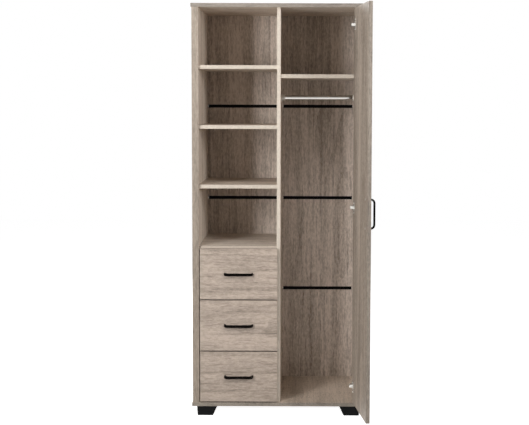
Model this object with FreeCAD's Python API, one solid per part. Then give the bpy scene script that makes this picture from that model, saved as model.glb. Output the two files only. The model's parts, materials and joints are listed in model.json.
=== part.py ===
import FreeCAD, Part
import math
import os

from FreeCAD import Vector

# A chifforobe: open shelves over three drawers on the left, and a tall hanging space
# behind one door on the right. Millimetres. X runs to the right, Y from front to back
# and Z up. The origin is the middle of the carcass footprint, on the floor.

# ---- driving sizes: carcass ----
CARCASS_WIDTH = 750.0       # across the outer faces of the two sides
CARCASS_DEPTH = 480.0       # front edges of the sides to the rear of the back sheets
TOTAL_HEIGHT = 1800.0
FOOT_HEIGHT = 42.0
SIDE_THICKNESS = 28.0
BOARD_THICKNESS = 16.0      # top, bottom, divider and shelves
END_OVERHANG = 4.0          # of the top and bottom panels beyond each side
INNER_SETBACK = 17.0        # divider and shelves, behind the front edges of the sides

# ---- driving sizes: shelves ----
BAY_BOARD_TOP = 750.5       # top face of the board over the drawers
UPPER_SPACE_HEIGHT = 248.0  # upper shelf to the top panel
SHELF_PITCH = 259.0         # from one top face to the next, down from the upper shelf
HAT_SPACE_HEIGHT = 286.5    # hat shelf to the top panel
HAT_SHELF_CLEARANCE = 1.0   # behind the path of the door's hinge edge

# ---- driving sizes: back ----
SHEET_THICKNESS = 3.0
SHEET_COUNT = 4
SHEET_EDGE_INSET = 2.0      # sheets inside the outline of the carcass
SHEET_JOINT_DROP = 425.0    # highest joint below the top panel
SHEET_JOINT_PITCH = 435.0
STRIP_HEIGHT = 14.4
STRIP_WALL = 1.0
STRIP_END_GAP = 6.0         # between a strip and the boards beside it
STRIP_BOARD_GAP = 3.0       # at least this between a strip and a shelf over or under it

# ---- driving sizes: hanging rod and its sockets ----
ROD_DIAMETER = 22.0
ROD_WALL = 1.2
ROD_DROP = 82.5             # axis of the rod below the hat shelf
ROD_END_GAP = 0.3           # between each end of the rod and the floor of its socket
SOCKET_FLANGE_DIAMETER = 36.0
SOCKET_FLANGE_THICKNESS = 5.0
SOCKET_FLOOR_THICKNESS = 2.5
SOCKET_COLLAR_LENGTH = 11.0
SOCKET_WALL = 2.2
SOCKET_FIT = 0.15           # radial, rod in collar

# ---- driving sizes: feet ----
FOOT_TOP_WIDTH = 90.0
FOOT_SOLE_WIDTH = 68.0
FOOT_DEPTH = 60.0
FOOT_SOLE_DEPTH = 52.0
FOOT_SIDE_INSET = 17.0      # from the outer face of the side
FOOT_FRONT_INSET = 5.0      # from the front edge, and the same at the back
FOOT_OUTER_TAPER = 2.5
FOOT_EDGE_RADIUS = 3.0
FOOT_SCREW_SPACING = 34.0
FOOT_BORE_DIAMETER = 9.6
FOOT_BORE_DEPTH = 30.0

# ---- driving sizes: drawers ----
DRAWER_COUNT = 3
FRONT_THICKNESS = 16.0
FRONT_SIDE_GAP = 4.0        # front to the side panel
FRONT_DIVIDER_OVERLAY = 3.5
FRONT_BOARD_OVERLAY = 5.0   # uppermost front over the edge of the board above it
FRONT_BOTTOM_GAP = 5.0
FRONT_BETWEEN_GAP = 4.5
DRAWER_WALL = 15.0
DRAWER_SIDE_CLEARANCE = 4.0
DRAWER_SIDE_HEIGHT = 160.0
DRAWER_SIDE_RISE = 22.0     # lower edge of the box above the lower edge of the front
DRAWER_BOX_LENGTH = 420.0
DRAWER_BOTTOM_THICKNESS = 3.0
DRAWER_BOTTOM_RISE = 10.0
DRAWER_BOTTOM_GROOVE = 6.0
DRAWER_BACK_DROP = 10.0     # upper edge of the back below the upper edge of the sides
DRAWER_DOWEL_RISE = 40.0    # lower dowels above the lower edge of the sides
DRAWER_DOWEL_DROP = 20.0    # upper dowels below their upper edge
GROOVE_FIT = 0.1            # around the thin bottom in its grooves

# ---- driving sizes: drawer rails ----
RAIL_HEIGHT = 16.0
RAIL_LENGTH = 400.0
RAIL_GROOVE_DEPTH = 8.0
RAIL_FRONT_INSET = 10.0     # behind the front edge of the divider
RAIL_SCREW_INSET = 30.0     # screws from the ends of a rail
RAIL_RUNNING_GAP = 0.3
RAIL_END_RADIUS = 5.0

# ---- driving sizes: door ----
DOOR_THICKNESS = 16.0
DOOR_GAP = 3.0              # at the hinge side, top and bottom
DOOR_DIVIDER_OVERLAY = 7.0
DOOR_OPEN_ANGLE = 97.0      # degrees, as the door stands here

# ---- driving sizes: handles ----
HANDLE_LENGTH = 128.0
HANDLE_PROJECTION = 25.0
HANDLE_WIDTH = 10.0
HANDLE_THICKNESS = 7.5
HANDLE_BEND_RADIUS = 20.0   # outer radius where a leg turns into the bar
HANDLE_EDGE_CHAMFER = 1.4
DOOR_HANDLE_INSET = 43.0    # centre line from the free edge of the door

# ---- driving sizes: concealed hinges ----
HINGE_END_DISTANCE = 71.0   # hinge centre from the end of the door
HINGE_AXIS_INSET = 13.5     # pin from the inner face of the side
HINGE_AXIS_DEPTH = 8.0      # pin behind the front face of the closed door
CUP_DIAMETER = 35.0
CUP_DEPTH = 12.0
CUP_WALL = 1.0
CUP_RIM_DISTANCE = 5.0      # cup from the hinge edge of the door
CUP_FIT = 0.05
FLANGE_THICKNESS = 1.2
FLANGE_RIM = 1.6            # flange beyond the cup
FLANGE_EAR_HEIGHT = 52.0
FLANGE_EAR_WIDTH = 14.0
FLANGE_EAR_RADIUS = 4.5
FLANGE_EAR_OFFSET = 8.5     # centre of the ears from the cup axis
FLANGE_SCREW_SPACING = 42.0
PIN_DIAMETER = 3.0
PIN_END_INSET = 0.1         # ends of the pin inside the round of the cup
PIN_RUNNING_GAP = 0.075
ARM_EYE_RADIUS = 2.7
ARM_WIDTH = 12.0
ARM_THICKNESS = 3.0
ARM_LINK_FRONT = 2.0        # front face of the arm, in front of the axis of its pin
ARM_CRANK = 34.5            # far face of the crank from the inner face of the side
ARM_CRANK_DEPTH = 27.0      # where the crank turns back to the side
ARM_SEAT_START = 52.0       # where the arm lies on its plate
ARM_END = 92.0
PLATE_BASE_THICKNESS = 3.0
PLATE_HEIGHT = 9.0          # seat of the arm above the side
PLATE_WING_HEIGHT = 46.0
PLATE_WING_WIDTH = 14.0
PLATE_WING_RADIUS = 4.5
PLATE_SCREW_SPACING = 32.0
CLAMP_SCREW_BITE = 4.5      # depth in the plate of the screw that holds the arm

# ---- driving sizes: dowels and screws ----
DOWEL_DIAMETER = 8.0
DOWEL_LENGTH = 30.0
DOWEL_IN_FACE = 9.0         # depth in the face of a board; the rest is in the end of the next
DOWEL_EDGE_DISTANCE = 60.0
HOLE_FIT = 0.05             # radial, around dowels and screws
SCREW_DIAMETER = 4.0
SCREW_HEAD_DIAMETER = 8.0
SCREW_HEAD_HEIGHT = 2.4
SMALL_SCREW_DIAMETER = 3.5
SMALL_SCREW_HEAD_DIAMETER = 6.6
SMALL_SCREW_HEAD_HEIGHT = 2.0
SCREW_BITE = 11.0           # depth of a screw in a board
HANDLE_SCREW_BITE = 9.0

# ---- places worked out from the sizes ----
FRONT_Y = -CARCASS_DEPTH / 2
BACK_Y = CARCASS_DEPTH / 2 - SHEET_THICKNESS
SETBACK_Y = FRONT_Y + INNER_SETBACK
SIDE_INNER_X = CARCASS_WIDTH / 2 - SIDE_THICKNESS
DIVIDER_X = BOARD_THICKNESS / 2
BOTTOM_Z = FOOT_HEIGHT + BOARD_THICKNESS
TOP_Z = TOTAL_HEIGHT - BOARD_THICKNESS
UPPER_SHELF_TOP = TOP_Z - UPPER_SPACE_HEIGHT
HAT_SHELF_TOP = TOP_Z - HAT_SPACE_HEIGHT
SHELF_TOPS = {
    "drawer_bay_board": BAY_BOARD_TOP,
    "lower_shelf": UPPER_SHELF_TOP - 2 * SHELF_PITCH,
    "middle_shelf": UPPER_SHELF_TOP - SHELF_PITCH,
    "upper_shelf": UPPER_SHELF_TOP,
}
ROD_Y = (SETBACK_Y + BACK_Y) / 2
ROD_Z = HAT_SHELF_TOP - BOARD_THICKNESS - ROD_DROP
DOWEL_ROWS = (SETBACK_Y + DOWEL_EDGE_DISTANCE, BACK_Y - DOWEL_EDGE_DISTANCE)

AXIS = {"x": Vector(1, 0, 0), "y": Vector(0, 1, 0), "z": Vector(0, 0, 1)}

nodes = {}


# ---- helpers ----
def block(x0, x1, y0, y1, z0, z1):
    """A box between two corners."""
    return Part.makeBox(x1 - x0, y1 - y0, z1 - z0, Vector(x0, y0, z0))


def rod_along(axis, radius, start, length):
    """A cylinder from a start point along one axis; a negative length runs the other way."""
    direction = AXIS[axis] * (1 if length > 0 else -1)
    return Part.makeCylinder(radius, abs(length), start, direction)


def cut_all(shape, tools):
    """The shape less every tool that reaches it."""
    reached = [tool for tool in tools if tool.BoundBox.intersect(shape.BoundBox)]
    return shape.cut(reached) if reached else shape


def prism(points, z0, z1):
    """A straight-sided outline in the XY plane, extruded from z0 to z1."""
    corners = [Vector(x, y, z0) for x, y in points]
    return Part.Face(Part.makePolygon(corners + corners[:1])).extrude(Vector(0, 0, z1 - z0))


def upright_edges(shape, places, tolerance=0.01):
    """The edges along Z that stand at the given XY places."""
    found = []
    for edge in shape.Edges:
        start, end = edge.Vertexes[0].Point, edge.Vertexes[-1].Point
        if abs(end.z - start.z) < tolerance or math.dist(start[:2], end[:2]) > tolerance:
            continue
        if any(math.dist(start[:2], place) < tolerance for place in places):
            found.append(edge)
    return found


def frustum(low, high, height):
    """A solid with four sloped sides, from the rectangle low at z = 0 to the rectangle high.

    Each rectangle is (x0, x1, y0, y1). The wedge is made lying down and then stood up.
    """
    wedge = Part.makeWedge(low[0], 0, -low[3], -high[3], high[0],
                           low[1], height, -low[2], -high[2], high[1])
    wedge.rotate(Vector(0, 0, 0), AXIS["x"], 90)
    return wedge


def screw(axis, seat, bite, head_height, head_diameter, shank_diameter, through):
    """A pan-head screw: its head stands on the seat and its shank goes along the axis.

    The shank passes what the head holds, which is `through` thick, and then bites.
    A negative bite drives it the other way. Returns the screw and the hole it needs.
    """
    sign = 1 if bite > 0 else -1
    length = abs(bite) + through
    shank = rod_along(axis, shank_diameter / 2, seat, sign * length)
    head = rod_along(axis, head_diameter / 2, seat, -sign * head_height)
    hole = rod_along(axis, shank_diameter / 2 + HOLE_FIT, seat, sign * (length + HOLE_FIT))
    return head.fuse(shank).removeSplitter(), hole


def big_screw(axis, seat, bite, through):
    return screw(axis, seat, bite, SCREW_HEAD_HEIGHT, SCREW_HEAD_DIAMETER, SCREW_DIAMETER, through)


def small_screw(axis, seat, bite, through):
    return screw(axis, seat, bite, SMALL_SCREW_HEAD_HEIGHT, SMALL_SCREW_HEAD_DIAMETER,
                 SMALL_SCREW_DIAMETER, through)


def dowel(axis, face_point, into_face):
    """A dowel across the joint at face_point, with its hole. into_face is +1 or -1 along the axis."""
    radius = DOWEL_DIAMETER / 2
    start = face_point + AXIS[axis] * (into_face * DOWEL_IN_FACE)
    clear = AXIS[axis] * (into_face * HOLE_FIT)
    peg = rod_along(axis, radius, start, -into_face * DOWEL_LENGTH)
    hole = rod_along(axis, radius + HOLE_FIT, start + clear, -into_face * (DOWEL_LENGTH + 2 * HOLE_FIT))
    return peg, hole


def bow_handle(centre_x, face_y, centre_z):
    """A bow handle lying along X on a face that looks towards -Y, with its two screw places.

    The outline is a bar with two legs; each corner is a pair of arcs about one centre.
    """
    half = HANDLE_LENGTH / 2
    bend = HANDLE_BEND_RADIUS
    inner_bend = bend - HANDLE_THICKNESS
    spine = face_y - HANDLE_PROJECTION
    diagonal = math.sqrt(0.5)

    def corner(side, radius):
        """Arc from leg to bar: start, middle and end."""
        hub_x, hub_y = centre_x + side * (half - bend), spine + bend
        return (Vector(hub_x + side * radius, hub_y, 0),
                Vector(hub_x + side * radius * diagonal, hub_y - radius * diagonal, 0),
                Vector(hub_x, hub_y - radius, 0))

    left_out, right_out = corner(-1, bend), corner(1, bend)
    left_in, right_in = corner(-1, inner_bend), corner(1, inner_bend)
    left_foot = Vector(centre_x - half, face_y, 0)
    right_foot = Vector(centre_x + half, face_y, 0)
    leg = Vector(HANDLE_THICKNESS, 0, 0)
    edges = [
        Part.makeLine(left_foot, left_out[0]),
        Part.Arc(*left_out).toShape(),
        Part.makeLine(left_out[2], right_out[2]),
        Part.Arc(*reversed(right_out)).toShape(),
        Part.makeLine(right_out[0], right_foot),
        Part.makeLine(right_foot, right_foot - leg),
        Part.makeLine(right_foot - leg, right_in[0]),
        Part.Arc(*right_in).toShape(),
        Part.makeLine(right_in[2], left_in[2]),
        Part.Arc(*reversed(left_in)).toShape(),
        Part.makeLine(left_in[0], left_foot + leg),
        Part.makeLine(left_foot + leg, left_foot),
    ]
    outline = Part.Face(Part.Wire(edges))
    outline.translate(Vector(0, 0, centre_z - HANDLE_WIDTH / 2))
    bow = outline.extrude(Vector(0, 0, HANDLE_WIDTH))
    rim = [edge for edge in bow.Edges
           if edge.BoundBox.ZLength < 0.01 and edge.BoundBox.YMax < face_y - 0.01]
    bow = bow.makeChamfer(HANDLE_EDGE_CHAMFER, rim)
    reach = half - HANDLE_THICKNESS / 2
    screw_places = [Vector(centre_x + side * reach, face_y, centre_z) for side in (-1, 1)]
    return bow, screw_places


def handle_screws(places, board_thickness):
    """Screws from behind a front into the legs of its handle, with their holes."""
    pairs = [big_screw("y", place + Vector(0, board_thickness, 0), -HANDLE_SCREW_BITE, board_thickness)
             for place in places]
    return [pair[0] for pair in pairs], [pair[1] for pair in pairs]


# ---- dowels ----
def carcass_dowels():
    """Upright dowels between the top and bottom panels and the ends of sides and divider."""
    columns = (-SIDE_INNER_X - SIDE_THICKNESS / 2, 0.0, SIDE_INNER_X + SIDE_THICKNESS / 2)
    return [dowel("z", Vector(x, y, z), into)
            for x in columns for y in DOWEL_ROWS for z, into in ((BOTTOM_Z, -1), (TOP_Z, 1))]


def shelf_dowels():
    """Level dowels at both ends of each shelf."""
    rows = [(top, -SIDE_INNER_X, -DIVIDER_X) for top in SHELF_TOPS.values()]
    rows.append((HAT_SHELF_TOP, DIVIDER_X, SIDE_INNER_X))
    pairs = []
    for top, left, right in rows:
        z = top - BOARD_THICKNESS / 2
        for y in DOWEL_ROWS:
            pairs.append(dowel("x", Vector(left, y, z), -1))
            pairs.append(dowel("x", Vector(right, y, z), 1))
    return pairs


# ---- feet ----
def foot(side, end):
    """A moulded foot, upright outside and sloped inside. side is -1 left, end is -1 front."""
    outer = CARCASS_WIDTH / 2 - FOOT_SIDE_INSET
    sole_outer = outer - FOOT_OUTER_TAPER
    near = CARCASS_DEPTH / 2 - FOOT_FRONT_INSET

    def rectangle(x_outer, width, depth):
        """Level outline of the foot, from its outer and near edges inwards."""
        return (*sorted((side * x_outer, side * (x_outer - width))),
                *sorted((end * near, end * (near - depth))))

    body = frustum(rectangle(sole_outer, FOOT_SOLE_WIDTH, FOOT_SOLE_DEPTH),
                   rectangle(outer, FOOT_TOP_WIDTH, FOOT_DEPTH), FOOT_HEIGHT)
    long_edges = [edge for edge in body.Edges if edge.BoundBox.ZLength > FOOT_HEIGHT / 2]
    body = body.makeFillet(FOOT_EDGE_RADIUS, long_edges)
    centre_x = side * (sole_outer - FOOT_SOLE_WIDTH / 2)
    centre_y = end * (near - FOOT_SOLE_DEPTH / 2)
    screws, holes = [], []
    for offset in (-FOOT_SCREW_SPACING / 2, FOOT_SCREW_SPACING / 2):
        seat = Vector(centre_x + offset, centre_y, FOOT_BORE_DEPTH)
        peg, hole = big_screw("z", seat, SCREW_BITE, FOOT_HEIGHT - FOOT_BORE_DEPTH)
        bore = rod_along("z", FOOT_BORE_DIAMETER / 2, Vector(seat.x, seat.y, 0), FOOT_BORE_DEPTH)
        screws.append(peg)
        holes.append(hole)
        body = body.cut(bore)
    return cut_all(body, holes), screws, holes


# ---- drawer places ----
FRONT_X0 = -SIDE_INNER_X + FRONT_SIDE_GAP
FRONT_X1 = -DIVIDER_X + FRONT_DIVIDER_OVERLAY
FRONT_LOWEST = BOTTOM_Z + FRONT_BOTTOM_GAP
FRONT_HIGHEST = BAY_BOARD_TOP - BOARD_THICKNESS + FRONT_BOARD_OVERLAY
FRONT_HEIGHT = (FRONT_HIGHEST - FRONT_LOWEST - (DRAWER_COUNT - 1) * FRONT_BETWEEN_GAP) / DRAWER_COUNT
BOX_FRONT_Y = FRONT_Y + FRONT_THICKNESS
BOX_BACK_Y = BOX_FRONT_Y + DRAWER_BOX_LENGTH
BOX_X0 = -SIDE_INNER_X + DRAWER_SIDE_CLEARANCE
BOX_X1 = -DIVIDER_X - DRAWER_SIDE_CLEARANCE
RAIL_THICKNESS = DRAWER_SIDE_CLEARANCE + RAIL_GROOVE_DEPTH - RAIL_RUNNING_GAP
RAIL_Y0 = SETBACK_Y + RAIL_FRONT_INSET


def front_bottom(index):
    """Lower edge of a drawer front, counted from the lowest drawer."""
    return FRONT_LOWEST + index * (FRONT_HEIGHT + FRONT_BETWEEN_GAP)


def rail_centre(index):
    return front_bottom(index) + DRAWER_SIDE_RISE + DRAWER_SIDE_HEIGHT / 2


def drawer_rail(index, side):
    """One rail with rounded front corners, and its two screws. side is -1 at the side panel."""
    wall = -SIDE_INNER_X if side < 0 else -DIVIDER_X
    inward = -side
    face = wall + inward * RAIL_THICKNESS
    z = rail_centre(index)
    rail = block(min(wall, face), max(wall, face), RAIL_Y0, RAIL_Y0 + RAIL_LENGTH,
                 z - RAIL_HEIGHT / 2, z + RAIL_HEIGHT / 2)
    nose = [edge for edge in rail.Edges
            if edge.BoundBox.XLength > RAIL_THICKNESS / 2 and edge.BoundBox.YMax < RAIL_Y0 + 1]
    rail = rail.makeFillet(RAIL_END_RADIUS, nose)
    screws, holes = [], []
    for y in (RAIL_Y0 + RAIL_SCREW_INSET, RAIL_Y0 + RAIL_LENGTH - RAIL_SCREW_INSET):
        seat = Vector(face - inward * SMALL_SCREW_HEAD_HEIGHT, y, z)
        through = RAIL_THICKNESS - SMALL_SCREW_HEAD_HEIGHT
        peg, hole = small_screw("x", seat, -inward * SCREW_BITE, through)
        recess = rod_along("x", SMALL_SCREW_HEAD_DIAMETER / 2 + HOLE_FIT, seat,
                           inward * SMALL_SCREW_HEAD_HEIGHT)
        rail = rail.cut(recess)
        screws.append(peg)
        holes.append(hole)
    return cut_all(rail, holes), screws, holes


def drawer(index):
    """The pieces of one drawer."""
    name = f"drawer_{index + 1}_"
    z0 = front_bottom(index)
    side_z0 = z0 + DRAWER_SIDE_RISE
    side_z1 = side_z0 + DRAWER_SIDE_HEIGHT
    bottom_z0 = side_z0 + DRAWER_BOTTOM_RISE
    bottom_z1 = bottom_z0 + DRAWER_BOTTOM_THICKNESS
    inner_x0, inner_x1 = BOX_X0 + DRAWER_WALL, BOX_X1 - DRAWER_WALL

    front = block(FRONT_X0, FRONT_X1, FRONT_Y, BOX_FRONT_Y, z0, z0 + FRONT_HEIGHT)
    handle, places = bow_handle((FRONT_X0 + FRONT_X1) / 2, FRONT_Y, z0 + FRONT_HEIGHT / 2)
    screws, holes = handle_screws(places, FRONT_THICKNESS)

    reach = DRAWER_BOTTOM_GROOVE - GROOVE_FIT
    bottom = block(inner_x0 - reach, inner_x1 + reach, BOX_FRONT_Y - reach, BOX_BACK_Y,
                   bottom_z0, bottom_z1)
    bottom_groove = block(inner_x0 - DRAWER_BOTTOM_GROOVE, inner_x1 + DRAWER_BOTTOM_GROOVE,
                          BOX_FRONT_Y - DRAWER_BOTTOM_GROOVE, BOX_BACK_Y,
                          bottom_z0 - GROOVE_FIT, bottom_z1 + GROOVE_FIT)
    back = block(inner_x0, inner_x1, BOX_BACK_Y - DRAWER_WALL, BOX_BACK_Y,
                 bottom_z1 + GROOVE_FIT, side_z1 - DRAWER_BACK_DROP)
    corner_pairs = []
    for z in (side_z0 + DRAWER_DOWEL_RISE, side_z1 - DRAWER_DOWEL_DROP):
        for x in (BOX_X0 + DRAWER_WALL / 2, BOX_X1 - DRAWER_WALL / 2):
            corner_pairs.append(dowel("y", Vector(x, BOX_FRONT_Y, z), -1))
    pegs = [pair[0] for pair in corner_pairs]
    peg_holes = [pair[1] for pair in corner_pairs]

    half_groove = RAIL_HEIGHT / 2 + RAIL_RUNNING_GAP
    for label, x0, x1, mouth in (("left_side", BOX_X0, inner_x0, BOX_X0),
                                 ("right_side", inner_x1, BOX_X1, BOX_X1 - RAIL_GROOVE_DEPTH)):
        side = block(x0, x1, BOX_FRONT_Y, BOX_BACK_Y, side_z0, side_z1)
        rail_groove = block(mouth, mouth + RAIL_GROOVE_DEPTH, BOX_FRONT_Y, BOX_BACK_Y,
                            rail_centre(index) - half_groove, rail_centre(index) + half_groove)
        nodes[name + label] = cut_all(side.cut(rail_groove).cut(bottom_groove), peg_holes)
    nodes[name + "front"] = cut_all(front.cut(bottom_groove), holes + peg_holes)
    nodes[name + "handle"] = cut_all(handle, holes)
    nodes[name + "back"] = back
    nodes[name + "bottom"] = bottom
    nodes[name + "fasteners"] = Part.makeCompound(screws + pegs)


# ---- door places, with the door closed ----
DOOR_X0 = DIVIDER_X - DOOR_DIVIDER_OVERLAY
DOOR_X1 = SIDE_INNER_X - DOOR_GAP
DOOR_Z0 = BOTTOM_Z + DOOR_GAP
DOOR_Z1 = TOP_Z - DOOR_GAP
DOOR_INNER_Y = FRONT_Y + DOOR_THICKNESS
HINGE_X = SIDE_INNER_X - HINGE_AXIS_INSET
HINGE_Y = FRONT_Y + HINGE_AXIS_DEPTH
HINGE_HEIGHTS = (DOOR_Z0 + HINGE_END_DISTANCE, (DOOR_Z0 + DOOR_Z1) / 2, DOOR_Z1 - HINGE_END_DISTANCE)
CUP_X = DOOR_X1 - CUP_RIM_DISTANCE - CUP_DIAMETER / 2
PIN_HALF_LENGTH = math.sqrt((CUP_DIAMETER / 2) ** 2
                            - (HINGE_X - CUP_X + PIN_DIAMETER / 2) ** 2) - PIN_END_INSET
DOOR_SWING_REACH = HINGE_AXIS_DEPTH + math.hypot(HINGE_AXIS_INSET - DOOR_GAP,
                                                 DOOR_THICKNESS - HINGE_AXIS_DEPTH)


def hinge_cup(z):
    """A pressed cup with its flange, bored for its pin; its two screws and the door's holes."""
    radius = CUP_DIAMETER / 2
    floor_y = DOOR_INNER_Y - CUP_DEPTH
    centre = Vector(CUP_X, DOOR_INNER_Y, z)
    cup = rod_along("y", radius, centre, -CUP_DEPTH)
    rim = rod_along("y", radius + FLANGE_RIM, centre, FLANGE_THICKNESS)
    ear_x = CUP_X - FLANGE_EAR_OFFSET
    ears = block(ear_x - FLANGE_EAR_WIDTH / 2, ear_x + FLANGE_EAR_WIDTH / 2,
                 DOOR_INNER_Y, DOOR_INNER_Y + FLANGE_THICKNESS,
                 z - FLANGE_EAR_HEIGHT / 2, z + FLANGE_EAR_HEIGHT / 2)
    ear_corners = [edge for edge in ears.Edges if edge.BoundBox.YLength > FLANGE_THICKNESS / 2]
    ears = ears.makeFillet(FLANGE_EAR_RADIUS, ear_corners)
    cavity = rod_along("y", radius - CUP_WALL, Vector(CUP_X, floor_y + CUP_WALL, z),
                       CUP_DEPTH + FLANGE_THICKNESS)
    pin_hole = rod_along("z", PIN_DIAMETER / 2 + HOLE_FIT,
                         Vector(HINGE_X, HINGE_Y, z - PIN_HALF_LENGTH), 2 * PIN_HALF_LENGTH)
    cup = cup.fuse([rim, ears]).cut([cavity, pin_hole]).removeSplitter()
    pin = rod_along("z", PIN_DIAMETER / 2, Vector(HINGE_X, HINGE_Y, z - PIN_HALF_LENGTH),
                    2 * PIN_HALF_LENGTH)
    bore = rod_along("y", radius + CUP_FIT, centre, -(CUP_DEPTH + CUP_FIT))
    screws, holes = [], []
    for offset in (-FLANGE_SCREW_SPACING / 2, FLANGE_SCREW_SPACING / 2):
        seat = Vector(ear_x, DOOR_INNER_Y + FLANGE_THICKNESS, z + offset)
        peg, hole = small_screw("y", seat, -SCREW_BITE, FLANGE_THICKNESS)
        screws.append(peg)
        holes.append(hole)
    return cut_all(cup, holes), pin, screws, holes, bore


def hinge_arm(z):
    """The cranked arm: eye on the pin, crank out of the cup and back, seat on the plate."""
    link_front = HINGE_Y - ARM_LINK_FRONT
    link_rear = link_front + ARM_THICKNESS
    far = SIDE_INNER_X - ARM_CRANK
    seat_x = SIDE_INNER_X - PLATE_HEIGHT
    turn_y = FRONT_Y + ARM_CRANK_DEPTH
    seat_y = FRONT_Y + ARM_SEAT_START
    end_y = FRONT_Y + ARM_END
    slope = math.atan2(seat_y - turn_y, seat_x - ARM_THICKNESS - far)
    lag = ARM_THICKNESS * math.tan(math.pi / 4 - slope / 2)
    outline = [
        (HINGE_X, link_front),
        (far, link_front),
        (far, turn_y),
        (seat_x - ARM_THICKNESS, seat_y),
        (seat_x - ARM_THICKNESS, end_y),
        (seat_x, end_y),
        (seat_x, seat_y - lag),
        (far + ARM_THICKNESS, turn_y - lag),
        (far + ARM_THICKNESS, link_rear),
        (HINGE_X, link_rear),
    ]
    low, high = z - ARM_WIDTH / 2, z + ARM_WIDTH / 2
    arm = prism(outline, low, high)
    arm = arm.makeFillet(ARM_THICKNESS, upright_edges(arm, [outline[i] for i in (2, 3)]))
    arm = arm.makeFillet(ARM_THICKNESS / 2, upright_edges(arm, [outline[i] for i in (1, 6, 7)]))
    eye = rod_along("z", ARM_EYE_RADIUS, Vector(HINGE_X, HINGE_Y, low), ARM_WIDTH)
    bore = rod_along("z", PIN_DIAMETER / 2 + PIN_RUNNING_GAP, Vector(HINGE_X, HINGE_Y, low), ARM_WIDTH)
    return arm.fuse(eye).cut(bore).removeSplitter()


def hinge_plate(z):
    """The mounting plate: a winged base with a raised seat, its screws and the arm's clamp screw."""
    face = SIDE_INNER_X
    seat_y0, seat_y1 = FRONT_Y + ARM_SEAT_START, FRONT_Y + ARM_END
    wing_y = (seat_y0 + seat_y1) / 2
    ridge = block(face - PLATE_HEIGHT, face, seat_y0, seat_y1, z - ARM_WIDTH / 2, z + ARM_WIDTH / 2)
    wings = block(face - PLATE_BASE_THICKNESS, face, wing_y - PLATE_WING_WIDTH / 2,
                  wing_y + PLATE_WING_WIDTH / 2, z - PLATE_WING_HEIGHT / 2, z + PLATE_WING_HEIGHT / 2)
    tips = [edge for edge in wings.Edges if edge.BoundBox.XLength > PLATE_BASE_THICKNESS / 2]
    wings = wings.makeFillet(PLATE_WING_RADIUS, tips)
    plate = ridge.fuse(wings).removeSplitter()
    screws, holes = [], []
    for offset in (-PLATE_SCREW_SPACING / 2, PLATE_SCREW_SPACING / 2):
        seat = Vector(face - PLATE_BASE_THICKNESS, wing_y, z + offset)
        peg, hole = small_screw("x", seat, SCREW_BITE, PLATE_BASE_THICKNESS)
        screws.append(peg)
        holes.append(hole)
    clamp_seat = Vector(face - PLATE_HEIGHT - ARM_THICKNESS, wing_y, z)
    clamp, clamp_hole = small_screw("x", clamp_seat, CLAMP_SCREW_BITE, ARM_THICKNESS)
    screws.append(clamp)
    holes.append(clamp_hole)
    return cut_all(plate, holes), screws, holes


def rod_socket(side):
    """An end socket of the hanging rod, turned about the rod's axis, with its screw."""
    wall = DIVIDER_X if side < 0 else SIDE_INNER_X
    inward = -side
    bore = ROD_DIAMETER / 2 + SOCKET_FIT
    collar = bore + SOCKET_WALL
    flange = SOCKET_FLANGE_DIAMETER / 2
    thick = SOCKET_FLANGE_THICKNESS
    floor = SOCKET_FLOOR_THICKNESS
    depth = thick + SOCKET_COLLAR_LENGTH
    profile = [(0, 0), (0, flange), (thick / 2, flange), (thick, flange - thick / 2), (thick, collar),
               (depth, collar), (depth, bore), (floor, bore), (floor, 0)]
    points = [Vector(wall + inward * along, ROD_Y + radius, ROD_Z) for along, radius in profile]
    face = Part.Face(Part.makePolygon(points + points[:1]))
    socket = face.revolve(Vector(wall, ROD_Y, ROD_Z), AXIS["x"], 360)
    if socket.Volume < 0:
        socket.reverse()
    seat = Vector(wall + inward * floor, ROD_Y, ROD_Z)
    peg, hole = big_screw("x", seat, -inward * SCREW_BITE, floor)
    return socket.cut(hole), peg, hole, wall + inward * (floor + ROD_END_GAP)


# ---- back ----
def joint_heights():
    """Heights of the sheet joints, lowest first. A joint never lies behind the edge of a shelf."""
    reach = STRIP_HEIGHT / 2 + STRIP_BOARD_GAP
    shelf_tops = sorted([*SHELF_TOPS.values(), HAT_SHELF_TOP], reverse=True)
    heights = []
    for step in reversed(range(SHEET_COUNT - 1)):
        height = TOP_Z - SHEET_JOINT_DROP - step * SHEET_JOINT_PITCH
        for top in shelf_tops:
            underside = top - BOARD_THICKNESS
            if underside - reach < height < top + reach:
                height = underside - reach
        heights.append(height)
    return heights


def back_sheets(joints):
    """Thin sheets one above the other, apart by the web of the strip between them."""
    half_width = CARCASS_WIDTH / 2 - SHEET_EDGE_INSET
    lows = [FOOT_HEIGHT + SHEET_EDGE_INSET] + [joint + STRIP_WALL / 2 for joint in joints]
    highs = [joint - STRIP_WALL / 2 for joint in joints] + [TOTAL_HEIGHT - SHEET_EDGE_INSET]
    return [block(-half_width, half_width, BACK_Y, BACK_Y + SHEET_THICKNESS, low, high)
            for low, high in zip(lows, highs)]


def joint_strips(joints, x0, x1):
    """H-section strips along the joints of one bay, which hold the sheet edges."""
    start, end = x0 + STRIP_END_GAP, x1 - STRIP_END_GAP
    half = STRIP_HEIGHT / 2
    rear = BACK_Y + SHEET_THICKNESS
    strips = []
    for z in joints:
        front_lip = block(start, end, BACK_Y - STRIP_WALL, BACK_Y, z - half, z + half)
        rear_lip = block(start, end, rear, rear + STRIP_WALL, z - half, z + half)
        web = block(start, end, BACK_Y, rear, z - STRIP_WALL / 2, z + STRIP_WALL / 2)
        strips.append(front_lip.fuse([web, rear_lip]).removeSplitter())
    return strips


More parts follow.
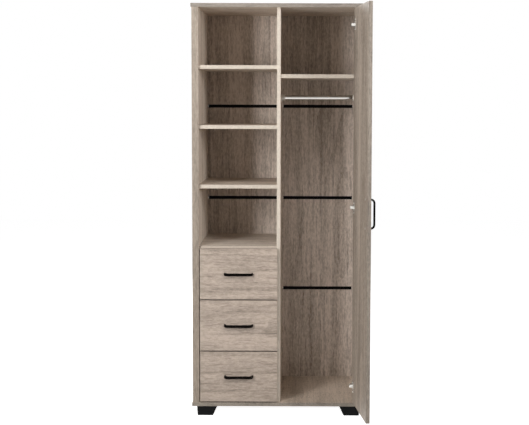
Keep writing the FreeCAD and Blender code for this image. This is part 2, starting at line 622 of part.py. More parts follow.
# ---- build: door, turned open about its hinge line ----
door_panel = block(DOOR_X0, DOOR_X1, FRONT_Y, DOOR_INNER_Y, DOOR_Z0, DOOR_Z1)
door_cuts, cups, pins, door_screws = [], [], [], []
for hinge_z in HINGE_HEIGHTS:
    cup_shape, pin_shape, cup_screws, cup_screw_holes, cup_bore = hinge_cup(hinge_z)
    cups.append(cup_shape)
    pins.append(pin_shape)
    door_screws += cup_screws
    door_cuts += cup_screw_holes + [cup_bore]

handle_x = DOOR_X0 + DOOR_HANDLE_INSET
handle_z = (DOOR_Z0 + DOOR_Z1) / 2
door_handle, handle_places = bow_handle(handle_x, FRONT_Y, handle_z)
bow_screws, bow_holes = handle_screws(handle_places, DOOR_THICKNESS)
door_handle = cut_all(door_handle, bow_holes)
for piece in [door_handle] + bow_screws + bow_holes:
    piece.rotate(Vector(handle_x, FRONT_Y, handle_z), AXIS["y"], 90)

door_nodes = {
    "door_panel": cut_all(door_panel, door_cuts + bow_holes),
    "door_handle": door_handle,
    "hinge_cups": Part.makeCompound(cups),
    "hinge_pins": Part.makeCompound(pins),
    "door_screws": Part.makeCompound(door_screws + bow_screws),
}
for name, shape in door_nodes.items():
    shape.rotate(Vector(HINGE_X, HINGE_Y, 0), AXIS["z"], DOOR_OPEN_ANGLE)
    nodes[name] = shape

# ---- build: hinge arms and plates, rod, feet, rails ----
fitting_screws, fitting_holes, arms, plates = [], [], [], []
for hinge_z in HINGE_HEIGHTS:
    plate_shape, plate_screws, plate_holes = hinge_plate(hinge_z)
    arms.append(cut_all(hinge_arm(hinge_z), plate_holes))
    plates.append(plate_shape)
    fitting_screws += plate_screws
    fitting_holes += plate_holes
nodes["hinge_arms"] = Part.makeCompound(arms)
nodes["hinge_plates"] = Part.makeCompound(plates)

rod_ends = []
for label, side in (("left", -1), ("right", 1)):
    socket_shape, socket_screw, socket_hole, rod_end = rod_socket(side)
    nodes["rod_socket_" + label] = socket_shape
    fitting_screws.append(socket_screw)
    fitting_holes.append(socket_hole)
    rod_ends.append(rod_end)
rod_start = Vector(rod_ends[0], ROD_Y, ROD_Z)
rod_length = rod_ends[1] - rod_ends[0]
hanging_rod = rod_along("x", ROD_DIAMETER / 2, rod_start, rod_length)
nodes["hanging_rod"] = hanging_rod.cut(rod_along("x", ROD_DIAMETER / 2 - ROD_WALL, rod_start, rod_length))
nodes["fitting_screws"] = Part.makeCompound(fitting_screws)

foot_screws, foot_holes = [], []
for end_label, end in (("front", -1), ("rear", 1)):
    for side_label, side in (("left", -1), ("right", 1)):
        foot_shape, screws, holes = foot(side, end)
        nodes[f"foot_{end_label}_{side_label}"] = foot_shape
        foot_screws += screws
        foot_holes += holes
nodes["foot_screws"] = Part.makeCompound(foot_screws)

rail_screws, rail_holes = [], []
for label, side in (("left", -1), ("right", 1)):
    rails = []
    for index in range(DRAWER_COUNT):
        rail_shape, screws, holes = drawer_rail(index, side)
        rails.append(rail_shape)
        rail_screws += screws
        rail_holes += holes
    nodes["drawer_rails_" + label] = Part.makeCompound(rails)
nodes["rail_screws"] = Part.makeCompound(rail_screws)

# ---- build: drawers ----
for index in range(DRAWER_COUNT):
    drawer(index)

# ---- build: carcass boards, with every hole that reaches them ----
upright_pairs, level_pairs = carcass_dowels(), shelf_dowels()
nodes["carcass_dowels"] = Part.makeCompound([peg for peg, hole in upright_pairs])
nodes["shelf_dowels"] = Part.makeCompound([peg for peg, hole in level_pairs])
board_holes = [hole for peg, hole in upright_pairs + level_pairs]
board_holes += fitting_holes + foot_holes + rail_holes

half_width = CARCASS_WIDTH / 2
end_half = half_width + END_OVERHANG
boards = {
    "left_side_panel": (-half_width, -SIDE_INNER_X, FRONT_Y, BACK_Y, BOTTOM_Z, TOP_Z),
    "right_side_panel": (SIDE_INNER_X, half_width, FRONT_Y, BACK_Y, BOTTOM_Z, TOP_Z),
    "divider_panel": (-DIVIDER_X, DIVIDER_X, SETBACK_Y, BACK_Y, BOTTOM_Z, TOP_Z),
    "bottom_panel": (-end_half, end_half, FRONT_Y, BACK_Y, FOOT_HEIGHT, BOTTOM_Z),
    "top_panel": (-end_half, end_half, FRONT_Y, BACK_Y, TOP_Z, TOTAL_HEIGHT),
    "hat_shelf": (DIVIDER_X, SIDE_INNER_X, FRONT_Y + DOOR_SWING_REACH + HAT_SHELF_CLEARANCE, BACK_Y,
                  HAT_SHELF_TOP - BOARD_THICKNESS, HAT_SHELF_TOP),
}
for name, top in SHELF_TOPS.items():
    boards[name] = (-SIDE_INNER_X, -DIVIDER_X, SETBACK_Y, BACK_Y, top - BOARD_THICKNESS, top)
for name, corners in boards.items():
    nodes[name] = cut_all(block(*corners), board_holes)

sheet_joints = joint_heights()
for number, sheet in enumerate(back_sheets(sheet_joints), 1):
    nodes[f"back_sheet_{number}"] = sheet
nodes["back_strips_left"] = Part.makeCompound(joint_strips(sheet_joints, -SIDE_INNER_X, -DIVIDER_X))
nodes["back_strips_right"] = Part.makeCompound(joint_strips(sheet_joints, DIVIDER_X, SIDE_INNER_X))

# ---- export ----
os.makedirs("parts", exist_ok=True)
for name, shape in nodes.items():
    shape.exportStep(f"parts/{name}.step")
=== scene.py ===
import json
import math

import bpy
import numpy as np
from mathutils import Matrix, Vector


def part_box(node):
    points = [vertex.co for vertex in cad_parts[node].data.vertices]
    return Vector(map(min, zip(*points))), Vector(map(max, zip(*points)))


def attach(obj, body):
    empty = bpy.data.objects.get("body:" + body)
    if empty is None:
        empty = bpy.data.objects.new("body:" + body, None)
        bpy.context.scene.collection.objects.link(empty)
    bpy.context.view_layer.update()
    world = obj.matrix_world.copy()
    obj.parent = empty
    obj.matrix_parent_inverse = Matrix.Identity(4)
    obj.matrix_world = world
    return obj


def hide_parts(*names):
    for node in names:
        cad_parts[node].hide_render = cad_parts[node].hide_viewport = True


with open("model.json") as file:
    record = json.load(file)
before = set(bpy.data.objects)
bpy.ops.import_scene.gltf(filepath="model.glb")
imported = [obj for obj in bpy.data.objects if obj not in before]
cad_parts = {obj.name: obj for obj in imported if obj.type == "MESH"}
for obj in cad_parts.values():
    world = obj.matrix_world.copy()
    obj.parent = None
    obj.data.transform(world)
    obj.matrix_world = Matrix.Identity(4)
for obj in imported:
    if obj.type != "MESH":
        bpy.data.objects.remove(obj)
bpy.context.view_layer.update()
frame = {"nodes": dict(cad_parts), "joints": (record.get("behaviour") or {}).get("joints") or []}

# A chifforobe in grey oak decor: open shelves over three drawers on the left, and a tall
# hanging space behind one door on the right. Metres, in the frame of the CAD model: X to
# the right, Y to the back, Z up, with the origin under the middle of the carcass.

# ---- camera, with its picture in pixels and its pose in metres and radians ----
PICTURE_WIDTH = 529
PICTURE_HEIGHT = 425
FOCAL_LENGTH_PIXELS = 1090.3
PRINCIPAL_POINT = (298.73, 186.0)   # pixels from the left and from the top
CAMERA_PLACE = (0.09277, -4.9546, 1.3639)
CAMERA_TURN = 0.0011                # to the left
CAMERA_TILT = 0.0739                # downwards
CAMERA_ROLL = 0.0029
SENSOR_WIDTH = 36.0                 # millimetres
CLIP_NEAR = 0.1
CLIP_FAR = 100.0

# ---- light: at these strengths a front face shows about its own colour ----
WHITE = (1.0, 1.0, 1.0)
ROOM_LIGHT = 0.045
# name: place, height of its aim, width, height, watts
LAMPS = {
    "key": ((-1.42, -2.22, 1.6), 1.5, 0.45, 1.6, 44.0),
    "right_fill": ((2.03, -2.48, 1.95), 1.3, 0.7, 1.0, 35.5),
    "high_front": ((-0.56, -2.08, 3.3), 0.9, 1.2, 0.8, 24.0),
    "rear_fill": ((-1.1, 3.2, 2.0), 1.0, 1.6, 1.6, 50.0),
}
LAMP_AIM = (0.0, -0.24)             # x and y of the point that every lamp looks at

# ---- floor ----
FLOOR_HALF_WIDTH = 8.0
FLOOR_COLOUR = (0.80, 0.80, 0.80)
FLOOR_OWN_LIGHT = 0.95              # added where the floor is seen, so that lit floor is white

# ---- oak colours, as scene-linear red, green and blue: a light and a dark tone each ----
OAK = ((0.495, 0.402, 0.333), (0.257, 0.208, 0.166))
# lighter oak on the inside faces and the inside boards: painted light that lifts the shade inside
# the bays
OAK_INSIDE_PAINTED_LIGHT = ((0.74, 0.645, 0.555), (0.42, 0.355, 0.295))
# lighter tone on the inner face of the left side: painted light
LEFT_INSIDE_PAINTED_LIGHT = ((0.92, 0.82, 0.72), (0.58, 0.49, 0.41))
# lighter tone on the underside of the top: painted light
TOP_UNDERSIDE_PAINTED_LIGHT = ((0.82, 0.72, 0.62), (0.47, 0.40, 0.33))
# upper faces: lighter than the oak and darker than the inside tone, painted light and painted
# shade
UPPER_FACE_PAINTED_LIGHT_AND_SHADE = ((0.61, 0.51, 0.42), (0.345, 0.28, 0.222))      # of the shelves and the bottom
SIDE_EDGE = ((0.36, 0.297, 0.237), (0.214, 0.173, 0.134))
# darker front edge of the top: painted shade that tones down the light up there
TOP_EDGE_PAINTED_SHADE = ((0.275, 0.237, 0.20), (0.163, 0.139, 0.115))
# darker front edge of the bottom: painted shade of the light falling off near the floor
BOTTOM_EDGE_PAINTED_SHADE = ((0.29, 0.25, 0.205), (0.16, 0.135, 0.11))
# very dark upper and lower faces of the drawer fronts: painted shade in the gaps between the
# fronts
DRAWER_EDGE_PAINTED_SHADE = ((0.18, 0.141, 0.11), (0.104, 0.08, 0.061))
# darker tone on the inner face of the open door: painted shade
DOOR_INSIDE_PAINTED_SHADE = ((0.465, 0.39, 0.323), (0.235, 0.192, 0.154))
# darker free edge of the door: painted shade against the stronger lamp light there
DOOR_EDGE_PAINTED_SHADE = ((0.335, 0.282, 0.232), (0.205, 0.172, 0.14))
# printed oak on the back sheets, made lighter than the boards: painted light that lifts the shade
# inside the bays
BACK_PRINT_PAINTED_LIGHT = ((0.745, 0.645, 0.567), (0.325, 0.269, 0.22))
FOIL = ((0.44, 0.38, 0.32), (0.34, 0.29, 0.24))
PIT_TINT = (0.35, 0.32, 0.30)

# ---- the other colours ----
DIVIDER_BAND = (0.615, 0.54, 0.452)
# edge band on the shelves, darker than on the divider: painted shade of the set-back edges
SHELF_BAND_PAINTED_SHADE = (0.54, 0.471, 0.393)
# edge band on the bay board, darker again: painted shade
BOARD_BAND_PAINTED_SHADE = (0.50, 0.42, 0.345)
HARDBOARD = (0.34, 0.215, 0.125)
BEECH_LIGHT = (0.66, 0.47, 0.29)
BEECH_DARK = (0.50, 0.33, 0.19)
BLACK_COAT = (0.0034, 0.0026, 0.0022)
BLACK_STRIP = (0.004, 0.0035, 0.0035)
BLACK_FOOT = (0.007, 0.007, 0.0075)
PALE_PLASTIC = (0.62, 0.62, 0.60)
ZINC = (0.62, 0.61, 0.58)
ROD_PLATE = (0.52, 0.50, 0.47)
SOCKET_PLATE = (0.96, 0.93, 0.86)
CUP_NICKEL = (0.80, 0.78, 0.75)
ARM_NICKEL = (0.86, 0.84, 0.79)

# ---- oak pattern, its scales in spots to the metre ----
# noise: scale across the grain, scale along it, detail, roughness, distortion
OAK_NOISES = {
    "bands": (14, 0.7, 2.0, 0.5, 0.4),
    "fibres": (85, 4.0, 6.0, 0.72, 0.0),
    "mottle": (170, 60, 3.0, 0.7, 0.0),
    "streaks": (52, 0.9, 3.0, 0.5, 0.3),
    "slow": (4.2, 0.42, 1.0, 0.5, 0.35),
    "flecks": (150, 15, 2.0, 0.6, 0.0),
    "saw": (6, 330, 2.0, 0.5, 0.0),
}
# noise: where its step starts, where it ends, and its share in the tone
TONE_STEPS = {
    "bands": (0.36, 0.64, 0.34),
    "fibres": (0.36, 0.64, 0.24),
    "mottle": (0.36, 0.64, 0.36),
    "streaks": (0.56, 0.70, -0.24),
}
SAW_SHARE = 0.10
RINGS = 9.0                         # growth rings over the slow noise's range
RING_POWER = 3.0
RING_SHARE = 0.22
PIT_STEP = (0.56, 0.66)
PIT_DEPTH = 0.6
PIT_DARKNESS = 0.40
TONE_MIDDLE = 0.40
CONTRAST = 1.3
DOOR_CONTRAST = 1.9
FOIL_CONTRAST = 0.7
NO_SHIFT = (0.0, 0.0, 0.0)

# ---- directions: the axis that the grain runs along, and the way that a face looks ----
ALONG_X, ALONG_Y, ALONG_Z = 0, 1, 2
LEFT, RIGHT = ("X", -1.0), ("X", 1.0)
FRONT, REAR = ("Y", -1.0), ("Y", 1.0)
DOWN, UP = ("Z", -1.0), ("Z", 1.0)
UP_OR_DOWN = ("Z", 0.0)
LOOKS_THAT_WAY = 0.9                # least part of a normal along the axis

# ---- handles, in metres ----
HANDLE_LENGTH = 0.128
HANDLE_PROJECTION = 0.025
HANDLE_WIDTH = 0.012
HANDLE_THICKNESS = 0.008
HANDLE_BEND = 0.020                 # outer radius of a bend

DRAWERS = ("drawer_1", "drawer_2", "drawer_3")
door_joint = next(joint for joint in frame["joints"] if joint["name"] == "door_swing")
DOOR_ANGLE = -math.radians(door_joint["range_deg"][0])      # from shut to where it stands


# ---- camera ----
def make_camera():
    """A camera at the viewing angle, its principal point moved by a small shift."""
    data = bpy.data.cameras.new("camera")
    data.sensor_fit = "HORIZONTAL"
    data.sensor_width = SENSOR_WIDTH
    data.lens = FOCAL_LENGTH_PIXELS * SENSOR_WIDTH / PICTURE_WIDTH
    data.shift_x = (PICTURE_WIDTH / 2 - PRINCIPAL_POINT[0]) / PICTURE_WIDTH
    data.shift_y = (PRINCIPAL_POINT[1] - PICTURE_HEIGHT / 2) / PICTURE_WIDTH
    data.clip_start = CLIP_NEAR
    data.clip_end = CLIP_FAR
    camera = bpy.data.objects.new("camera", data)
    turn = (Matrix.Rotation(CAMERA_TURN, 3, "Z")
            @ Matrix.Rotation(math.pi / 2 - CAMERA_TILT, 3, "X")
            @ Matrix.Rotation(CAMERA_ROLL, 3, "Z"))
    camera.rotation_euler = turn.to_euler()
    camera.location = CAMERA_PLACE
    bpy.context.scene.collection.objects.link(camera)
    bpy.context.scene.camera = camera


# ---- node helpers ----
def shade(colour, factor):
    """A colour made darker or lighter."""
    return tuple(min(1.0, factor * part) for part in colour)


class Graph:
    """A material's node tree, with short calls for the nodes that the finishes use."""

    def __init__(self, name):
        self.material = bpy.data.materials.new(name)
        self.material.use_nodes = True
        self.tree = self.material.node_tree
        self.tree.nodes.clear()
        self.output = self.tree.nodes.new("ShaderNodeOutputMaterial")

    def feed(self, socket, value):
        """Links a socket to the input, or sets the input's own value."""
        if isinstance(value, bpy.types.NodeSocket):
            self.tree.links.new(value, socket)
        else:
            socket.default_value = value

    def feed_colour(self, socket, value):
        """The same for a colour, which may be three numbers."""
        self.feed(socket, value if isinstance(value, bpy.types.NodeSocket) else (*value, 1.0))

    def node(self, kind, settings=None, **inputs):
        """A new node. Settings are its own properties; inputs are values or sockets."""
        node = self.tree.nodes.new(kind)
        for key, value in (settings or {}).items():
            setattr(node, key, value)
        for key, value in inputs.items():
            self.feed(node.inputs[key.replace("_", " ")], value)
        return node

    def math(self, operation, first, second=0.0, clamp=False):
        """An operation on one or two values, its result held between 0 and 1 if clamp is set."""
        node = self.node("ShaderNodeMath", {"operation": operation, "use_clamp": clamp})
        self.feed(node.inputs[0], first)
        self.feed(node.inputs[1], second)
        return node.outputs[0]

    def place(self, scale, shift=NO_SHIFT):
        """Object coordinates, stretched along the three axes and moved."""
        source = self.node("ShaderNodeTexCoord").outputs["Object"]
        return self.node("ShaderNodeMapping", Vector=source, Location=shift,
                         Scale=scale).outputs[0]

    def noise(self, scale, shift=NO_SHIFT, detail=3.0, roughness=0.5, distortion=0.0):
        """Noise with a scale for each axis; one number stands for all three."""
        vector = self.place(scale if isinstance(scale, tuple) else (scale,) * 3, shift)
        return self.node("ShaderNodeTexNoise", Vector=vector, Scale=1.0, Detail=detail,
                         Roughness=roughness, Distortion=distortion).outputs[0]

    def steps(self, value, low, high):
        """0 below low, 1 above high, and smooth between them."""
        return self.node("ShaderNodeMapRange", {"interpolation_type": "SMOOTHSTEP"}, Value=value,
                         From_Min=low, From_Max=high).outputs[0]

    def mix(self, share, first, second, blend="MIX"):
        """The first colour where the share is 0, and the second where it is 1."""
        node = self.node("ShaderNodeMix", {"data_type": "RGBA", "blend_type": blend})
        self.feed(node.inputs[0], share)
        self.feed_colour(node.inputs[6], first)
        self.feed_colour(node.inputs[7], second)
        return node.outputs[2]

    def shades(self, share, colour, dark, light):
        """A colour times dark where the share is 0, and times light where it is 1."""
        return self.mix(share, shade(colour, dark), shade(colour, light))

    def about(self, value, middle, spread):
        """A number that runs over a spread about its middle, as the value goes from 0 to 1."""
        return self.math("ADD", self.math("MULTIPLY", value, spread), middle - spread / 2)

    def surface(self, colour, roughness, bump, strength, distance, **own):
        """The Principled shader of the finish, with a bump from a height."""
        shader = self.node("ShaderNodeBsdfPrincipled", Roughness=roughness, **own)
        self.feed_colour(shader.inputs["Base Color"], colour)
        relief = self.node("ShaderNodeBump", Height=bump, Strength=strength, Distance=distance)
        self.tree.links.new(relief.outputs[0], shader.inputs["Normal"])
        self.tree.links.new(shader.outputs[0], self.output.inputs[0])
        return self.material


# ---- wood finishes ----
def oak_pattern(graph, axis, shift):
    """Tone, pits and relief of sawn grey oak, with its grain along one axis.

    The tone is 0.34 bands + 0.24 fibres + 0.36 mottle - 0.24 streaks - 0.22 ring ** 3 + 0.10 saw
    marks. All but the ring are noises, drawn out along the grain, and saw marks across it. Ring
    is the fraction of 9 times a slow noise: its jumps are growth lines, which close in arches.
    """
    noises = {}
    for name, (across, along, detail, roughness, distortion) in OAK_NOISES.items():
        scale = tuple(along if i == axis else across for i in range(3))
        noises[name] = graph.noise(scale, shift, detail, roughness, distortion)
    tone = graph.math("MULTIPLY", noises["saw"], SAW_SHARE)
    for name, (low, high, share) in TONE_STEPS.items():
        step = graph.steps(noises[name], low, high)
        tone = graph.math("ADD", tone, graph.math("MULTIPLY", step, share))
    ring = graph.math("FRACT", graph.math("MULTIPLY", noises["slow"], RINGS))
    line = graph.math("MULTIPLY", graph.math("POWER", ring, RING_POWER), RING_SHARE)
    tone = graph.math("SUBTRACT", tone, line)
    pits = graph.steps(noises["flecks"], *PIT_STEP)
    relief = graph.math("SUBTRACT", noises["fibres"], graph.math("MULTIPLY", pits, PIT_DEPTH))
    return tone, pits, relief


def facing(graph, direction):
    """1 on the faces that look in a direction and 0 on the others; a sign of 0 takes both ways."""
    axis, sign = direction
    normal = graph.node("ShaderNodeTexCoord").outputs["Normal"]
    part = graph.node("ShaderNodeSeparateXYZ", Vector=normal).outputs[axis]
    part = graph.math("MULTIPLY", part, sign) if sign else graph.math("ABSOLUTE", part)
    return graph.math("GREATER_THAN", part, LOOKS_THAT_WAY)


def oak_colour(graph, tones, axis, shift, contrast, painted_light_faces):
    """Oak colour and relief. Each direction given holds the tones of the faces that look that way:
    painted light and shade, lighter or darker than the board's own oak.
    """
    tone, pits, relief = oak_pattern(graph, axis, shift)
    tone = graph.math("MULTIPLY", graph.math("SUBTRACT", tone, TONE_MIDDLE), contrast)
    tone = graph.math("ADD", tone, 0.5, clamp=True)
    light, dark = tones
    # painted light and shade: faces that look one way take lighter or darker tones of the oak
    for direction, (side_light, side_dark) in painted_light_faces.items():
        there = facing(graph, direction)
        light = graph.mix(there, light, side_light)
        dark = graph.mix(there, dark, side_dark)
    colour = graph.mix(tone, dark, light)
    colour = graph.mix(graph.math("MULTIPLY", pits, PIT_DARKNESS), colour, PIT_TINT, "MULTIPLY")
    return colour, relief


def oak(name, tones, axis, shift=NO_SHIFT, contrast=CONTRAST, painted_light_faces=None, band=None):
    """Satin oak decor, with painted light and shade as lighter or darker tones on some faces, and
    a speckled edge band at the front.
    """
    graph = Graph(name)
    colour, relief = oak_colour(graph, tones, axis, shift, contrast, painted_light_faces or {})
    if band is not None:
        speckle = graph.noise(scale=110, shift=shift, detail=4.0)
        speckle = graph.steps(speckle, low=0.3, high=0.7)
        strip = graph.shades(speckle, band, dark=0.92, light=1.05)
        colour = graph.mix(facing(graph, FRONT), colour, strip)
    return graph.surface(colour, roughness=0.52, bump=relief, strength=0.12, distance=0.0004)


def printed_sheet(name, tones, axis, shift, bare_side):
    """Hardboard with printed oak on one face, and bare brown fibre on the other."""
    graph = Graph(name)
    colour, relief = oak_colour(graph, tones, axis, shift, CONTRAST, {})
    fibre = graph.noise(scale=240, detail=6.0, roughness=0.7)
    cloud = graph.noise(scale=9, detail=5.0, roughness=0.7)
    half_fibre = graph.math("MULTIPLY", fibre, 0.5)
    half_cloud = graph.math("MULTIPLY", cloud, 0.5)
    felt = graph.steps(graph.math("ADD", half_fibre, half_cloud), low=0.38, high=0.62)
    brown = graph.shades(felt, HARDBOARD, dark=0.72, light=1.25)
    colour = graph.mix(facing(graph, bare_side), colour, brown)
    return graph.surface(colour, roughness=0.6, bump=relief, strength=0.1, distance=0.0003)


def box_foil(name, axis):
    """Plain foil on the drawer boxes: oak tone with a faint grain along one axis."""
    graph = Graph(name)
    shift = (0.7, 0.2, 0.4)
    colour, relief = oak_colour(graph, FOIL, axis, shift, FOIL_CONTRAST, {})
    return graph.surface(colour, roughness=0.48, bump=relief, strength=0.08, distance=0.0003)


def beech(name):
    """Plain turned beech, pale and fine, for dowels."""
    graph = Graph(name)
    grain = graph.noise(scale=300, detail=4.0)
    colour = graph.mix(grain, BEECH_DARK, BEECH_LIGHT)
    return graph.surface(colour, roughness=0.6, bump=grain, strength=0.1, distance=0.001)


# ---- plastic and metal finishes ----
def moulded_plastic(name, colour, roughness, grain_scale, strength, specular=0.5):
    """Moulded plastic with a fine spark-eroded grain and a little mottling."""
    graph = Graph(name)
    grain = graph.noise(grain_scale)
    mottle = graph.noise(scale=35, detail=2.0)
    tint = graph.shades(mottle, colour, dark=0.7, light=1.3)
    gloss = graph.about(mottle, roughness, spread=0.12)
    return graph.surface(tint, gloss, bump=grain, strength=strength, distance=0.0002,
                         Specular_IOR_Level=specular)


def powder_coat(name, colour):
    """Black powder coat: satin, with the fine orange peel of sprayed powder."""
    graph = Graph(name)
    peel = graph.noise(scale=900, detail=2.0)
    wear = graph.noise(scale=90)
    tint = graph.shades(wear, colour, dark=0.7, light=1.4)
    return graph.surface(tint, roughness=0.42, bump=peel, strength=0.08, distance=0.0001,
                         Specular_IOR_Level=0.02)


def plated_metal(name, colour, roughness, brush, metallic=1.0):
    """Plated steel, brushed along the axis with the least scale, or evenly for one number."""
    graph = Graph(name)
    lines = graph.noise(brush, detail=4.0)
    haze = graph.noise(scale=40, detail=2.0)
    tint = graph.shades(haze, colour, dark=0.9, light=1.0)
    gloss = graph.about(lines, roughness, spread=0.10)
    return graph.surface(tint, gloss, bump=lines, strength=0.03, distance=0.0001,
                         Metallic=metallic)


# ---- numpy surfaces ----
def tube_faces(rows, columns):
    """Quads of a grid of points whose columns close into a ring, and a face at each end."""
    row, column = np.meshgrid(np.arange(rows - 1), np.arange(columns), indexing="ij")
    after = (column + 1) % columns
    here = row * columns
    above = here + columns
    quads = np.stack([here + after, above + after, above + column, here + column], -1)
    ring = np.arange(columns)
    ends = [ring[::-1].tolist(), (ring + (rows - 1) * columns).tolist()]
    return quads.reshape(-1, 4).tolist() + ends


def bow_surface(ring_points=32, bend_steps=14, bar_steps=10, leg_steps=4, squareness=4.0):
    """A bow handle on the plane y = 0, along x, standing out towards -y.

    The centre line is a leg, a quarter circle, a bar, a quarter circle and a leg. Across it
    is carried a superellipse, |a / half width| ** n + |b / half thickness| ** n = 1, where a
    runs along z and b along the line's own normal. Returns the points and the closed faces.
    """
    radius = HANDLE_BEND - HANDLE_THICKNESS / 2
    half = HANDLE_LENGTH / 2 - HANDLE_THICKNESS / 2
    spine = HANDLE_PROJECTION - HANDLE_THICKNESS / 2
    leg = np.linspace(0.0, spine - radius, leg_steps, endpoint=False)
    turn = np.linspace(0.0, math.pi / 2, bend_steps, endpoint=False)
    bar = np.linspace(-(half - radius), 0.0, bar_steps)
    x = np.concatenate([np.full(leg_steps, -half), -half + radius * (1 - np.cos(turn)), bar])
    y = np.concatenate([-leg, radius - spine - radius * np.sin(turn), np.full(bar_steps, -spine)])
    angle = np.concatenate([np.zeros(leg_steps), turn, np.full(bar_steps, math.pi / 2)])
    # the right half mirrors the left one
    x = np.concatenate([x, -x[-2::-1]])
    y = np.concatenate([y, y[-2::-1]])
    angle = np.concatenate([angle, math.pi - angle[-2::-1]])
    around = np.linspace(0.0, 2 * math.pi, ring_points, endpoint=False)
    power = 2.0 / squareness
    a = HANDLE_WIDTH / 2 * np.sign(np.cos(around)) * np.abs(np.cos(around)) ** power
    b = HANDLE_THICKNESS / 2 * np.sign(np.sin(around)) * np.abs(np.sin(around)) ** power
    points = np.empty((len(x), ring_points, 3))
    points[:, :, 0] = x[:, None] - np.cos(angle)[:, None] * b
    points[:, :, 1] = y[:, None] - np.sin(angle)[:, None] * b
    points[:, :, 2] = a
    return points.reshape(-1, 3), tube_faces(len(x), ring_points)


def new_handle(body, points, faces, material):
    """A smooth bow that rides on its body and stands for the plain handle of that body."""
    name = body + "_bow"
    mesh = bpy.data.meshes.new(name)
    mesh.from_pydata(points.tolist(), [], faces)
    mesh.polygons.foreach_set("use_smooth", np.ones(len(mesh.polygons), bool))
    mesh.materials.append(material)
    mesh.validate()
    piece = bpy.data.objects.new(name, mesh)
    bpy.context.scene.collection.objects.link(piece)
    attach(piece, body)
    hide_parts(body + "_handle")


def add_handles(material):
    """Four bow handles in place of the plain solids: level on the drawers, upright on the door."""
    points, faces = bow_surface()
    for body in DRAWERS:
        low, high = (np.array(corner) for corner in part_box(body + "_handle"))
        foot = (low + high) / 2
        foot[1] = high[1]           # on the face of the drawer front
        new_handle(body, points + foot, faces, material)
    # the open door's outer face looks out, and the bow's own x goes upright
    low, high = (np.array(corner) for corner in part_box("door_handle"))
    out = np.array([math.sin(DOOR_ANGLE), -math.cos(DOOR_ANGLE), 0.0])
    along = np.array([0.0, 0.0, 1.0])
    side = np.cross(along, -out)
    foot = (low + high) / 2 - out * HANDLE_PROJECTION / 2
    turned = points[:, :1] * along - points[:, 1:2] * out + points[:, 2:] * side
    new_handle("door", turned + foot, faces, material)


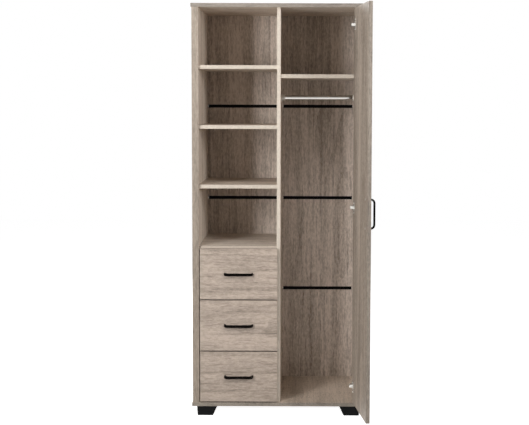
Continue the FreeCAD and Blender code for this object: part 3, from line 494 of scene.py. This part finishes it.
# ---- finishes of the carried nodes ----
def make_finishes(handle_coat):
    """Every finish of the object, by the start or end of the names of its nodes."""
    # a shift moves a board's grain, so that no two kinds of board have the same lines
    side_shift = (0.9, 0.3, 0.0)
    level_shift = (0.0, 0.6, 0.2)
    # the tones given for faces that look one way are painted light and shade, not the oak's own
    # colour
    left = oak("oak_left_side", OAK, ALONG_Z, side_shift,
               painted_light_faces={RIGHT: LEFT_INSIDE_PAINTED_LIGHT, FRONT: SIDE_EDGE})
    right = oak("oak_right_side", OAK, ALONG_Z, side_shift,
                painted_light_faces={LEFT: OAK_INSIDE_PAINTED_LIGHT, FRONT: SIDE_EDGE})
    top = oak("oak_top_panel", OAK, ALONG_X, level_shift,
              painted_light_faces={DOWN: TOP_UNDERSIDE_PAINTED_LIGHT, FRONT: TOP_EDGE_PAINTED_SHADE})
    bottom = oak("oak_bottom_panel", OAK, ALONG_Y, level_shift,
                 painted_light_faces={UP: UPPER_FACE_PAINTED_LIGHT_AND_SHADE, FRONT: BOTTOM_EDGE_PAINTED_SHADE})
    divider = oak("oak_divider", OAK_INSIDE_PAINTED_LIGHT, ALONG_Z, band=DIVIDER_BAND)
    shelf = oak("oak_shelf", OAK_INSIDE_PAINTED_LIGHT, ALONG_X, shift=(0.4, 0.1, 0.0),
                painted_light_faces={UP: UPPER_FACE_PAINTED_LIGHT_AND_SHADE}, band=SHELF_BAND_PAINTED_SHADE)
    bay_board = oak("oak_bay_board", OAK_INSIDE_PAINTED_LIGHT, ALONG_X, shift=(0.8, 0.5, 0.0),
                    band=BOARD_BAND_PAINTED_SHADE)
    front = oak("oak_drawer_front", OAK, ALONG_X, shift=(0.9, 2.3, 11.5),
                painted_light_faces={UP_OR_DOWN: DRAWER_EDGE_PAINTED_SHADE})
    door = oak("oak_door", OAK, ALONG_Z, shift=(7.6, 11.2, 0.0), contrast=DOOR_CONTRAST,
               painted_light_faces={LEFT: DOOR_INSIDE_PAINTED_SHADE, FRONT: DOOR_EDGE_PAINTED_SHADE})
    back = printed_sheet("printed_back_sheet", BACK_PRINT_PAINTED_LIGHT, ALONG_Z, shift=(3.1, 0.0, 0.4),
                         bare_side=REAR)
    base = printed_sheet("drawer_bottom_sheet", FOIL, ALONG_Y, shift=(0.0, 0.3, 0.0),
                         bare_side=DOWN)
    foil_across = box_foil("box_foil_across", ALONG_X)
    foil_along = box_foil("box_foil_along", ALONG_Y)
    dowel = beech("beech_dowel")
    strip = moulded_plastic("black_strip", BLACK_STRIP, roughness=0.5, grain_scale=700,
                            strength=0.05, specular=0.04)
    foot = moulded_plastic("black_foot", BLACK_FOOT, roughness=0.6, grain_scale=520,
                           strength=0.12, specular=0.06)
    rail = moulded_plastic("pale_rail", PALE_PLASTIC, roughness=0.45, grain_scale=500,
                           strength=0.06)
    zinc = plated_metal("zinc_plate", ZINC, roughness=0.36, brush=500)
    rod = plated_metal("rod_plate", ROD_PLATE, roughness=0.08, brush=(30, 900, 900))
    socket = plated_metal("socket_plate", SOCKET_PLATE, roughness=0.34, brush=600, metallic=0.1)
    cup = plated_metal("bright_nickel_plate", CUP_NICKEL, roughness=0.2, brush=(60, 600, 600))
    arm = plated_metal("nickel_plate", ARM_NICKEL, roughness=0.34, brush=(60, 600, 600),
                       metallic=0.4)
    return {
        "left_side_panel": left,
        "right_side_panel": right,
        "top_panel": top,
        "bottom_panel": bottom,
        "divider_panel": divider,
        "shelf": shelf,
        "drawer_bay_board": bay_board,
        "back_sheet": back,
        "back_strips": strip,
        "hanging_rod": rod,
        "rod_socket": socket,
        "foot_": foot,
        "foot_screws": zinc,
        "rail_screws": zinc,
        "fitting_screws": zinc,
        "door_screws": zinc,
        "carcass_dowels": dowel,
        "shelf_dowels": dowel,
        "drawer_rails": rail,
        "hinge_cups": cup,
        "hinge_": arm,
        "door_panel": door,
        "_front": front,
        "left_side": foil_along,
        "right_side": foil_along,
        "_back": foil_across,
        "_bottom": base,
        "_fasteners": zinc,
        "_handle": handle_coat,
    }


def dress_nodes(finishes):
    """Gives each node the finish of the longest name that its own name starts or ends with."""
    for name, node in frame["nodes"].items():
        fitting = [key for key in finishes if name.startswith(key) or name.endswith(key)]
        node.data.materials.clear()
        node.data.materials.append(finishes[max(fitting, key=len)])


# ---- stage and light ----
def seen_directly(tree):
    """A socket that is 1 for what the camera, a mirror or glass sees, and 0 for other light."""
    path = tree.nodes.new("ShaderNodeLightPath")
    seen = path.outputs["Is Camera Ray"]
    for kind in ("Is Glossy Ray", "Is Transmission Ray"):
        larger = tree.nodes.new("ShaderNodeMath")
        larger.operation = "MAXIMUM"
        tree.links.new(seen, larger.inputs[0])
        tree.links.new(path.outputs[kind], larger.inputs[1])
        seen = larger.outputs[0]
    return seen


def make_floor():
    """A plain pale floor: white where light reaches it, with a soft shadow by the object.

    Where it is seen directly it adds its own light, so that lit floor is white and only the
    deep part of the shadow stays below white.
    """
    mesh = bpy.data.meshes.new("floor")
    far = FLOOR_HALF_WIDTH
    corners = [(-far, -far, 0), (far, -far, 0), (far, far, 0), (-far, far, 0)]
    mesh.from_pydata(corners, [], [(0, 1, 2, 3)])
    floor = bpy.data.objects.new("floor", mesh)
    bpy.context.scene.collection.objects.link(floor)
    graph = Graph("pale_floor")
    matt = graph.node("ShaderNodeBsdfDiffuse", Color=(*FLOOR_COLOUR, 1.0))
    own_light = graph.math("MULTIPLY", seen_directly(graph.tree), FLOOR_OWN_LIGHT)
    glow = graph.node("ShaderNodeEmission", Strength=own_light)
    both = graph.node("ShaderNodeAddShader")
    graph.feed(both.inputs[0], matt.outputs[0])
    graph.feed(both.inputs[1], glow.outputs[0])
    graph.feed(graph.output.inputs[0], both.outputs[0])
    mesh.materials.append(graph.material)


def make_light():
    """Even light from the room, white where the camera sees it, and the soft lamps."""
    world = bpy.data.worlds.new("room")
    bpy.context.scene.world = world
    world.use_nodes = True
    tree = world.node_tree
    tree.nodes.clear()
    output = tree.nodes.new("ShaderNodeOutputWorld")
    room = tree.nodes.new("ShaderNodeBackground")
    room.inputs["Color"].default_value = (*WHITE, 1.0)
    room.inputs["Strength"].default_value = ROOM_LIGHT
    white = tree.nodes.new("ShaderNodeBackground")
    white.inputs["Color"].default_value = (*WHITE, 1.0)
    mix = tree.nodes.new("ShaderNodeMixShader")
    tree.links.new(seen_directly(tree), mix.inputs[0])
    tree.links.new(room.outputs[0], mix.inputs[1])
    tree.links.new(white.outputs[0], mix.inputs[2])
    tree.links.new(mix.outputs[0], output.inputs[0])
    for name, (place, aim, width, height, watts) in LAMPS.items():
        data = bpy.data.lights.new(name, "AREA")
        data.shape = "RECTANGLE"
        data.size = width
        data.size_y = height
        data.energy = watts
        lamp = bpy.data.objects.new(name, data)
        lamp.location = place
        sight = Vector((*LAMP_AIM, aim)) - lamp.location
        lamp.rotation_euler = sight.to_track_quat("-Z", "Y").to_euler()
        bpy.context.scene.collection.objects.link(lamp)


# ---- build ----
bpy.context.scene.view_settings.view_transform = "Standard"
make_camera()
make_light()
make_floor()
black_coat = powder_coat("handle_coat", BLACK_COAT)
dress_nodes(make_finishes(black_coat))
add_handles(black_coat)
